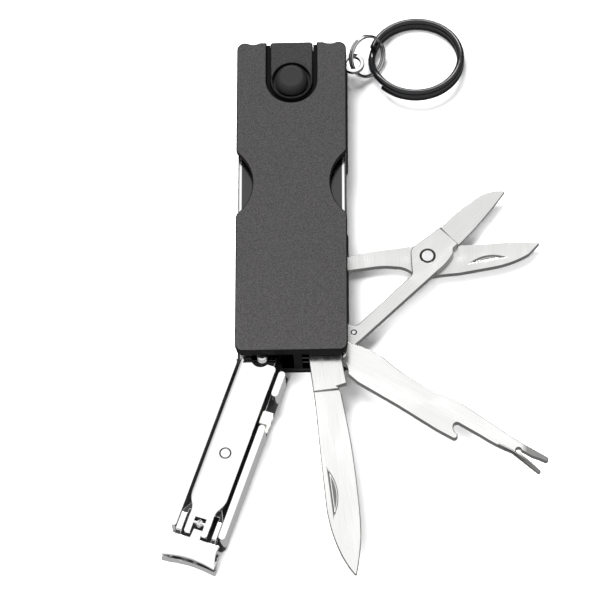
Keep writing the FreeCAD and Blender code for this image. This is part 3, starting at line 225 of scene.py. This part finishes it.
def new_material(name):
    """A material, its principled shader, its links and a function that adds nodes."""
    material = bpy.data.materials.new(name)
    material.use_nodes = True
    tree = material.node_tree
    shader = tree.nodes["Principled BSDF"]

    def add(kind, **settings):
        node = tree.nodes.new("ShaderNode" + kind)
        for key, value in settings.items():
            if hasattr(node, key):
                setattr(node, key, value)
            else:
                node.inputs[key].default_value = value
        return node

    return material, shader, tree.links, add


def placed(links, add, angle=0.0, stretch=(1, 1, 1)):
    """Coordinates of the object, turned by an angle in degrees and stretched."""
    where = add("TexCoord")
    turned = add("Mapping", Rotation=(0, 0, -math.radians(angle)))
    scaled = add("Mapping", Scale=stretch)
    links.new(where.outputs["Object"], turned.inputs["Vector"])
    links.new(turned.outputs[0], scaled.inputs["Vector"])
    return scaled.outputs[0]


def noise(links, add, vector, scale, detail=3.0, roughness=0.6):
    """A noise value at each place of vector."""
    texture = add("TexNoise", Scale=scale, Detail=detail, Roughness=roughness)
    links.new(vector, texture.inputs["Vector"])
    return texture.outputs["Fac"]


def spread(links, add, value, given, wanted):
    """Map a value from the given range to the wanted one."""
    node = add("MapRange", **dict(zip(RANGE_SOCKETS, (*given, *wanted))))
    links.new(value, node.inputs["Value"])
    return node.outputs["Result"]


def tint(links, add, value, dark, light):
    """A colour between dark and light by a value from 0 to 1."""
    node = add("Mix", data_type="RGBA")
    ends = [socket for socket in node.inputs if socket.type == "RGBA"]
    ends[0].default_value = (*dark, 1)
    ends[1].default_value = (*light, 1)
    links.new(value, node.inputs[0])
    return [socket for socket in node.outputs if socket.type == "RGBA"][0]


def bump(links, add, shader, height, distance, strength):
    """Let a height value tilt the shader's surface."""
    node = add("Bump", Distance=distance, Strength=strength)
    links.new(height, node.inputs["Height"])
    links.new(node.outputs[0], shader.inputs["Normal"])


def colour_by(links, add, shader, value, dark, light, given=NOISE_RANGE):
    """Let a value in the given range move the base colour from dark to light."""
    shade = spread(links, add, value, given, (0, 1))
    links.new(tint(links, add, shade, dark, light), shader.inputs["Base Color"])


def roughen_by(links, add, shader, value, low, high):
    """Let a noise value move the roughness from low to high."""
    links.new(spread(links, add, value, NOISE_RANGE, (low, high)), shader.inputs["Roughness"])


def shifted(colour, factor, lift=0.0):
    """A colour times a factor, plus a little."""
    return tuple(min(1.0, part * factor + lift) for part in colour)


def make_coat_material(name, dark, light, roughness, specular=0.1):
    """A fine-grained matte coat on metal."""
    material, shader, links, add = new_material(name)
    grain = noise(links, add, placed(links, add), COAT_GRAIN, detail=1.0, roughness=0.7)
    cloud = noise(links, add, placed(links, add), COAT_CLOUD, detail=2.0)
    colour_by(links, add, shader, grain, dark, light)
    roughen_by(links, add, shader, cloud, roughness - 0.05, roughness + 0.05)
    shader.inputs["Specular IOR Level"].default_value = specular
    bump(links, add, shader, grain, COAT_DEPTH, strength=0.8)
    return material


def make_plastic_material(name, colour, roughness, grain_size, specular=0.3):
    """Moulded plastic with a fine texture."""
    material, shader, links, add = new_material(name)
    grain = noise(links, add, placed(links, add), 1 / grain_size, detail=2.0)
    colour_by(links, add, shader, grain, colour, shifted(colour, factor=1.9, lift=0.001))
    roughen_by(links, add, shader, grain, roughness - 0.06, roughness + 0.06)
    shader.inputs["Specular IOR Level"].default_value = specular
    bump(links, add, shader, grain, PLASTIC_DEPTH, strength=0.4)
    return material


def make_steel_material(name, colour, roughness, angle=0.0, shade_start=None):
    """Steel brushed along a direction, given as an angle from +Y. Beyond a start given along +X it
    darkens: painted shade.
    """
    material, shader, links, add = new_material(name)
    along = placed(links, add, angle, (1, 0.012, 1))
    lines = noise(links, add, along, BRUSH_LINES, detail=2.0, roughness=0.5)
    cloud = noise(links, add, placed(links, add, angle, (1, 0.25, 1)), BRUSH_CLOUD)
    shade = spread(links, add, lines, NOISE_RANGE, (0, 1))
    brushed = tint(links, add, shade, shifted(colour, factor=0.92), colour)
    # Painted shade: past the start along +X the colour darkens.
    if shade_start:
        split = add("SeparateXYZ")
        links.new(placed(links, add), split.inputs[0])
        prong_shade = spread(links, add, split.outputs["X"], (shade_start, shade_start + PRONG_SHADE_FADE * MM), (1.0, PRONG_SHADE_LEVEL))
        dim = add("VectorMath", operation="SCALE")
        links.new(brushed, dim.inputs[0])
        links.new(prong_shade, dim.inputs["Scale"])
        brushed = dim.outputs[0]
    links.new(brushed, shader.inputs["Base Color"])
    roughen_by(links, add, shader, cloud, roughness - 0.05, roughness + 0.07)
    shader.inputs["Metallic"].default_value = 1.0
    shader.inputs["Anisotropic"].default_value = 0.35
    bump(links, add, shader, lines, BRUSH_DEPTH, strength=0.5)
    return material


def make_liner_reflection_material(name, shade_colour, reflection_colour):
    """Steel sheet painted dark as shade, with a painted reflection: a bright band near both long edges."""
    material, shader, links, add = new_material(name)
    split = add("SeparateXYZ")
    links.new(placed(links, add), split.inputs[0])
    away = add("Math", operation="ABSOLUTE")
    links.new(split.outputs["X"], away.inputs[0])
    # Painted reflection: a bright band near each long edge; the rest is painted shade.
    rise = spread(links, add, away.outputs[0], LINER_REFLECTION_FADE_IN, (0.0, 1.0))
    fall = spread(links, add, away.outputs[0], LINER_REFLECTION_FADE_OUT, (1.0, 0.0))
    band = add("Math", operation="MULTIPLY")
    links.new(rise, band.inputs[0])
    links.new(fall, band.inputs[1])
    links.new(tint(links, add, band.outputs[0], shade_colour, reflection_colour), shader.inputs["Base Color"])
    haze = noise(links, add, placed(links, add), LINER_HAZE, detail=2.0)
    roughen_by(links, add, shader, haze, 0.16, 0.24)
    shader.inputs["Metallic"].default_value = 1.0
    return material


def make_chrome_material(name, colour, roughness):
    """Bright plating with faint polishing haze."""
    material, shader, links, add = new_material(name)
    haze = noise(links, add, placed(links, add), CHROME_HAZE)
    colour_by(links, add, shader, haze, shifted(colour, factor=0.95), colour)
    roughen_by(links, add, shader, haze, roughness * 0.6, roughness * 1.5)
    shader.inputs["Metallic"].default_value = 1.0
    return material


def make_gloss_material(name, colour, roughness):
    """Gloss enamel with faint rubbing marks."""
    material, shader, links, add = new_material(name)
    marks = noise(links, add, placed(links, add), RUB_MARKS, detail=4.0)
    colour_by(links, add, shader, marks, colour, shifted(colour, factor=1.8, lift=0.001), RUB_RANGE)
    roughen_by(links, add, shader, marks, roughness * 0.6, roughness * 1.6)
    shader.inputs["Specular IOR Level"].default_value = 0.12
    shader.inputs["Coat Weight"].default_value = 0.6
    shader.inputs["Coat Roughness"].default_value = 0.05
    return material


def make_clear_material(name):
    """Clear moulded plastic."""
    material, shader, links, add = new_material(name)
    haze = noise(links, add, placed(links, add), CLEAR_HAZE, detail=2.0)
    links.new(tint(links, add, haze, (0.9, 0.93, 0.97), (0.97, 0.98, 1.0)), shader.inputs["Base Color"])
    roughen_by(links, add, shader, haze, 0.05, 0.12)
    shader.inputs["Transmission Weight"].default_value = 0.85
    shader.inputs["IOR"].default_value = 1.5
    return material


def make_floor_material():
    """Matte white card with a faint unevenness."""
    material, shader, links, add = new_material("floor_white")
    cloud = noise(links, add, placed(links, add), FLOOR_CLOUD, detail=2.0)
    links.new(tint(links, add, cloud, (0.93, 0.93, 0.93), (0.95, 0.95, 0.95)), shader.inputs["Base Color"])
    shader.inputs["Roughness"].default_value = 0.9
    return material


# A material for each slot. Further down some nodes get one of their own, under the node's name.
MATERIALS = {
    "cover_grey": make_coat_material("cover_grey", (0.019, 0.0183, 0.0186), (0.048, 0.0462, 0.0470), 0.5),
    "frame_black": make_plastic_material("frame_black", (0.002, 0.002, 0.0022), 0.6, 0.25 * MM, 0.05),
    # Liners carry painted shade and a painted reflection band.
    "liner_steel": make_liner_reflection_material("liner_steel", (0.07, 0.07, 0.072), (0.85, 0.85, 0.85)),
    "spring_steel": make_steel_material("spring_steel", (0.60, 0.60, 0.61), 0.28),
    "pin_steel": make_steel_material("pin_steel", (0.74, 0.74, 0.75), 0.22),
    "clipper_chrome": make_chrome_material("clipper_chrome", (0.97, 0.97, 0.97), 0.07),
    "lug_chrome": make_chrome_material("lug_chrome", (0.86, 0.86, 0.87), 0.08),
    "catch_metal": make_coat_material("catch_metal", (0.36, 0.355, 0.335), (0.44, 0.435, 0.41), 0.35),
    "key_ring_black": make_gloss_material("key_ring_black", (0.003, 0.003, 0.0035), 0.14),
    "housing_black": make_plastic_material("housing_black", (0.008, 0.008, 0.009), 0.6, 0.2 * MM, 0.1),
    "button_black": make_plastic_material("button_black", (0.010, 0.010, 0.0105), 0.42, 0.12 * MM, 0.12),
    "cell_steel": make_steel_material("cell_steel", (0.70, 0.70, 0.70), 0.2),
    "board_green": make_plastic_material("board_green", (0.02, 0.11, 0.045), 0.35, 0.3 * MM),
    "lamp_clear": make_clear_material("lamp_clear"),
    "lead_metal": make_steel_material("lead_metal", (0.72, 0.71, 0.68), 0.25),
}

# Each tool's brushing direction, as an angle from +Y in degrees, and its brightness.
TOOL_FINISH = {
    "knife_blade": (-173, 0.83), "opener_blade": (-121, 0.83), "scissors_arm": (-45, 0.68),
    "scissors_lever": (0, 0.66),
}
TOOL_ROUGHNESS = 0.24
for tool, (angle, level) in TOOL_FINISH.items():
    # The opener's prongs get painted shade towards their ends.
    prong = PRONG_SHADE_START * MM if tool == "opener_blade" else None
    colour = (level, level, level * 0.99)
    MATERIALS[tool] = make_steel_material(tool + "_steel", colour, TOOL_ROUGHNESS, angle, prong)
MATERIALS["lever_rivet"] = MATERIALS["clipper_chrome"]
MATERIALS["small_ring"] = make_chrome_material("small_ring_chrome", (0.42, 0.42, 0.42), 0.08)
MATERIALS["light_cover"] = make_coat_material(
    "light_cover", (0.012, 0.0117, 0.0122), (0.032, 0.0315, 0.0325), 0.5)


def material_of(node):
    """The node's own material if it has one, and otherwise that of its slot."""
    return MATERIALS.get(node) or MATERIALS[SLOT_OF[node]]


# ---------------------------------------------------------------- painted regions

# Tones of single faces, set to match the photograph.
# Painted shade on the covers' rounded edges and sides.
SHADED_COVER_EDGE = make_coat_material("shaded_cover_edge", (0.003, 0.003, 0.003), (0.010, 0.010, 0.010), 0.5, 0.05)
SHADED_COVER_SIDE = make_coat_material("shaded_cover_side", (0.002, 0.002, 0.002), (0.006, 0.006, 0.006), 0.6, 0.05)
# Painted shade in the clipper's low recesses.
SHADED_RECESS_STEEL = make_steel_material("shaded_recess_steel", (0.07, 0.07, 0.073), 0.4)
# Painted shade and darker reflections on tool and lug edges.
SHADED_TOOL_EDGE = make_chrome_material("shaded_tool_edge", (0.26, 0.255, 0.25), 0.10)
# Painted shade in the rings round the rivets.
SHADED_RIVET_EDGE = make_chrome_material("shaded_rivet_edge", (0.06, 0.06, 0.062), 0.2)
# Painted shade in the nail nicks.
SHADED_NICK_STEEL = make_steel_material("shaded_nick_steel", (0.20, 0.20, 0.203), 0.3)

# Nodes whose side and rounded faces get painted shade.
SHADED_EDGE_NODES = ("knife_blade", "opener_blade", "scissors_arm", "scissors_lever", "ring_lug")
RIVET_NODES = ("scissors_rivet", "lever_rivet", "spring_rivet")
NICK_NODES = ("knife_blade", "scissors_lever")
# How far under the top of its node a nail nick's floor lies, in mm: more than, and less than.
NICK_DEPTH = (0.2, 0.55)
# Level upper faces lower than this height, in mm, are painted dark: painted shade in recesses.
SHADED_BELOW = {"clipper_casing": 7.0, "lower_jaw": 4.2, "upper_jaw": 8.5}

# How upright a face's normal stands, from 0 for a wall to 1 for a level face.
LEVEL_FACE = 0.998
COVER_TOP_FACE = 0.97
TOOL_TOP_FACE = 0.965
COVER_SIDE_FACE = 0.3


def paint(solid, material, chosen):
    """Give the chosen faces of a mesh another material."""
    solid.materials.append(material)
    index = len(solid.materials) - 1
    for face in solid.polygons:
        if chosen(face):
            face.material_index = index


def paint_regions(solid, node, top):
    """Give faces of a node painted shade and painted reflections in place of its own material. Its top is
    at height top.
    """
    # Covers: painted shade on rounded edges and sides.
    if SLOT_OF[node] == "cover_grey":
        paint(solid, SHADED_COVER_EDGE, lambda face: COVER_SIDE_FACE < abs(face.normal.z) < COVER_TOP_FACE)
        paint(solid, SHADED_COVER_SIDE, lambda face: abs(face.normal.z) <= COVER_SIDE_FACE)
    # Tools, lug and rivets: painted shade on their side faces.
    for nodes, material in ((SHADED_EDGE_NODES, SHADED_TOOL_EDGE), (RIVET_NODES, SHADED_RIVET_EDGE)):
        if node in nodes:
            paint(solid, material, lambda face: abs(face.normal.z) < TOOL_TOP_FACE)
    # Nail nicks: painted shade on their floors.
    if node in NICK_NODES:
        paint(solid, SHADED_NICK_STEEL, lambda face: face.normal.z > LEVEL_FACE
              and NICK_DEPTH[0] * MM < top - face.center.z < NICK_DEPTH[1] * MM)
    # Clipper recesses: painted shade on low level faces.
    if node in SHADED_BELOW:
        paint(solid, SHADED_RECESS_STEEL, lambda face: face.normal.z > LEVEL_FACE
              and face.center.z < SHADED_BELOW[node] * MM)


# ---------------------------------------------------------------- finished pieces

# Edges that bend by more than the first angle are sharp. Faces within the second are one. Degrees.
SHARP_ANGLE = 35.0
FLAT_ANGLE = 0.5
WELD_DISTANCE = 1e-7
ROUNDING_SEGMENTS = 2
# Nodes with slots or holes in their flat regions, which joining would spoil.
WITH_SLOTS = ("centre_spine", "light_cover", "light_housing", "lever_post")
# Width of the rounding of each node's sharp edges, in mm. Where it is 0 they stay sharp.
ROUNDING = {
    "top_cover": 0.2, "bottom_cover": 0.2, "light_cover": 0.1, "upper_frame": 0.08, "centre_spine": 0.06,
    "upper_liner": 0.05, "lower_liner": 0.05, "low_divider": 0.05, "high_divider": 0.05,
    "knife_backspring": 0.08, "opener_backspring": 0.08, "scissors_backspring": 0.08,
    "left_spacer": 0.1, "right_spacer_low": 0.1, "right_spacer_top": 0.1, "ring_lug": 0.18,
    "knife_blade": 0.22, "opener_blade": 0.22, "scissors_arm": 0.22, "scissors_lever": 0.1,
    "scissors_spring": 0.06, "tool_pin": 0.1, "clipper_pin": 0.1, "tool_pin_washer": 0.08,
    "clipper_casing": 0.0, "lower_jaw": 0.1, "upper_jaw": 0.1, "lever_post": 0.08,
    "clipper_bush": 0.1, "clipper_rivet": 0.06, "scissors_rivet": 0.4, "lever_rivet": 0.35,
    "spring_rivet": 0.12, "lever_catch": 0.08, "light_button": 0.05, "light_housing": 0.1,
    "cover_screws": 0.05,
}


def new_piece(name, vertices, faces, node, smooth_angle=SHARP_ANGLE):
    """A mesh piece that stands for a CAD node and rides on its body."""
    mesh = bpy.data.meshes.new(name)
    mesh.from_pydata(vertices, [], faces)
    mesh.validate()
    piece = bpy.data.objects.new(name, mesh)
    bpy.context.scene.collection.objects.link(piece)
    mesh.shade_smooth()
    mesh.set_sharp_from_angle(angle=math.radians(smooth_angle))
    mesh.materials.append(material_of(node))
    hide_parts(node)
    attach(piece, BODY_OF[node])
    return piece


def clean_shell(node, join_flats):
    """The node's vertices and faces with the seams welded, and the flat regions joined if asked."""
    shell = bmesh.new()
    shell.from_mesh(frame["nodes"][node].data)
    bmesh.ops.remove_doubles(shell, verts=shell.verts, dist=WELD_DISTANCE)
    if join_flats:
        bmesh.ops.dissolve_limit(shell, angle_limit=math.radians(FLAT_ANGLE), verts=shell.verts,
                                 edges=shell.edges)
    shell.verts.index_update()
    vertices = [tuple(vertex.co) for vertex in shell.verts]
    faces = [[vertex.index for vertex in face.verts] for face in shell.faces]
    shell.free()
    return vertices, faces


def refine(node, width):
    """The node with its sharp edges rounded by width and its regions painted."""
    vertices, faces = clean_shell(node, node not in WITH_SLOTS)
    piece = new_piece(node + "_piece", vertices, faces, node)
    low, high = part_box(node)
    if width > 0:
        round_edges(piece, width, low, high)
    paint_regions(piece.data, node, high.z)


def round_edges(piece, width, low, high):
    """Round the piece's sharp edges by width and keep it inside the box from low to high."""
    rounding = piece.modifiers.new("rounding", "BEVEL")
    rounding.width = width
    rounding.segments = ROUNDING_SEGMENTS
    rounding.limit_method = "ANGLE"
    rounding.angle_limit = math.radians(SHARP_ANGLE)
    rounding.use_clamp_overlap = False
    rounding.harden_normals = True
    bpy.context.view_layer.update()
    graph = bpy.context.evaluated_depsgraph_get()
    solid = bpy.data.meshes.new_from_object(piece.evaluated_get(graph))
    piece.modifiers.clear()
    piece.data = solid
    for vertex in solid.vertices:
        vertex.co = [min(max(place, least), most) for place, least, most in zip(vertex.co, low, high)]


def finish_plain_nodes():
    """Give the CAD nodes their materials. Those that no piece replaces are seen as they are."""
    for name, node in frame["nodes"].items():
        node.data.materials.clear()
        node.data.materials.append(material_of(name))


# ---------------------------------------------------------------- rings

WIRE_SHARP_ANGLE = 40.0
WIRE_SIDES = 28
WIRE_CHAMFER = 0.22
# Height of the two turns together, in radii of the wire. It is under 4, so the turns press together.
STACK_IN_RADII = 3.9
# Degrees between the wire's upper end and the crossing.
END_GAP = 4
TURN = 360
# Angles in degrees from the ring's right.
RINGS = {
    "key_ring": {"start": 222.0, "cross_from": 168.0, "cross_to": 220.0, "steps_per_turn": 120},
    "small_ring": {"start": 110.0, "cross_from": 60.0, "cross_to": 110.0, "steps_per_turn": 90},
}


def ring_frame(node):
    """The ring's centre, two axes in its plane, its upward normal, the radius of the wire's middle
    line, the wire's own radius and the height of the two turns."""
    points = np.array([vertex.co for vertex in frame["nodes"][node].data.vertices])
    centre = (points.max(0) + points.min(0)) / 2
    normal = np.linalg.svd(points - points.mean(0), full_matrices=False)[2][2]
    if normal[2] < 0:
        normal = -normal
    right = np.cross((0, 1, 0), normal)
    right /= np.linalg.norm(right)
    up = np.cross(normal, right)
    height = (points - centre) @ normal
    stack = height.max() - height.min()
    wire = stack / STACK_IN_RADII
    reach = np.linalg.norm(np.cross(points - centre, normal), axis=1).max()
    return centre, right, up, normal, reach - wire, wire, stack


def make_split_ring(node, start, cross_from, cross_to, steps_per_turn):
    """One wire wound twice: it starts on the lower turn, crosses to the upper one between two
    angles and ends short of the crossing."""
    centre, right, up, normal, radius, wire, stack = ring_frame(node)
    last = cross_from + 2 * TURN - END_GAP
    count = int((last - start) / TURN * steps_per_turn)
    points = []
    for index in range(count + 1):
        angle = start + (last - start) * index / count
        share = min(1.0, max(0.0, (angle - cross_from - TURN) / (cross_to - cross_from)))
        share = share * share * (3 - 2 * share)
        lift = (share - 0.5) * (stack - 2 * wire)
        turn = math.radians(angle)
        points.append(centre + radius * (math.cos(turn) * right + math.sin(turn) * up) + lift * normal)
    sweep(node + "_wire", points, wire, node)


def sweep(name, points, radius, node):
    """A round wire along points, its ends cut square with a small chamfer."""
    chamfer = radius * WIRE_CHAMFER
    first = points[0] - points[1]
    first /= np.linalg.norm(first)
    last = points[-1] - points[-2]
    last /= np.linalg.norm(last)
    path = [points[0], points[0] - first * chamfer]
    path += points[1:-1]
    path += [points[-1] - last * chamfer, points[-1]]
    radii = [radius - chamfer] + [radius] * (len(path) - 2) + [radius - chamfer]
    vertices = []
    faces = []
    side = None
    for index, point in enumerate(path):
        along = path[min(index + 1, len(path) - 1)] - path[max(index - 1, 0)]
        along /= np.linalg.norm(along)
        if side is None:
            side = np.cross(along, (0, 0, 1.0))
        side = side - along * (side @ along)
        side /= np.linalg.norm(side)
        other = np.cross(along, side)
        for turn in range(WIRE_SIDES):
            angle = 2 * math.pi * turn / WIRE_SIDES
            offset = math.cos(angle) * side + math.sin(angle) * other
            vertices.append(tuple(point + radii[index] * offset))
    for index in range(len(path) - 1):
        for turn in range(WIRE_SIDES):
            following = (turn + 1) % WIRE_SIDES
            low = index * WIRE_SIDES
            high = low + WIRE_SIDES
            faces.append((low + turn, low + following, high + following, high + turn))
    faces.append(tuple(reversed(range(WIRE_SIDES))))
    faces.append(tuple(range(len(vertices) - WIRE_SIDES, len(vertices))))
    new_piece(name, vertices, faces, node, WIRE_SHARP_ANGLE)


# ---------------------------------------------------------------- make everything

make_camera()
make_studio()
finish_plain_nodes()
for node_name, edge in ROUNDING.items():
    refine(node_name, edge * MM)
for ring_name, winding in RINGS.items():
    make_split_ring(ring_name, **winding)
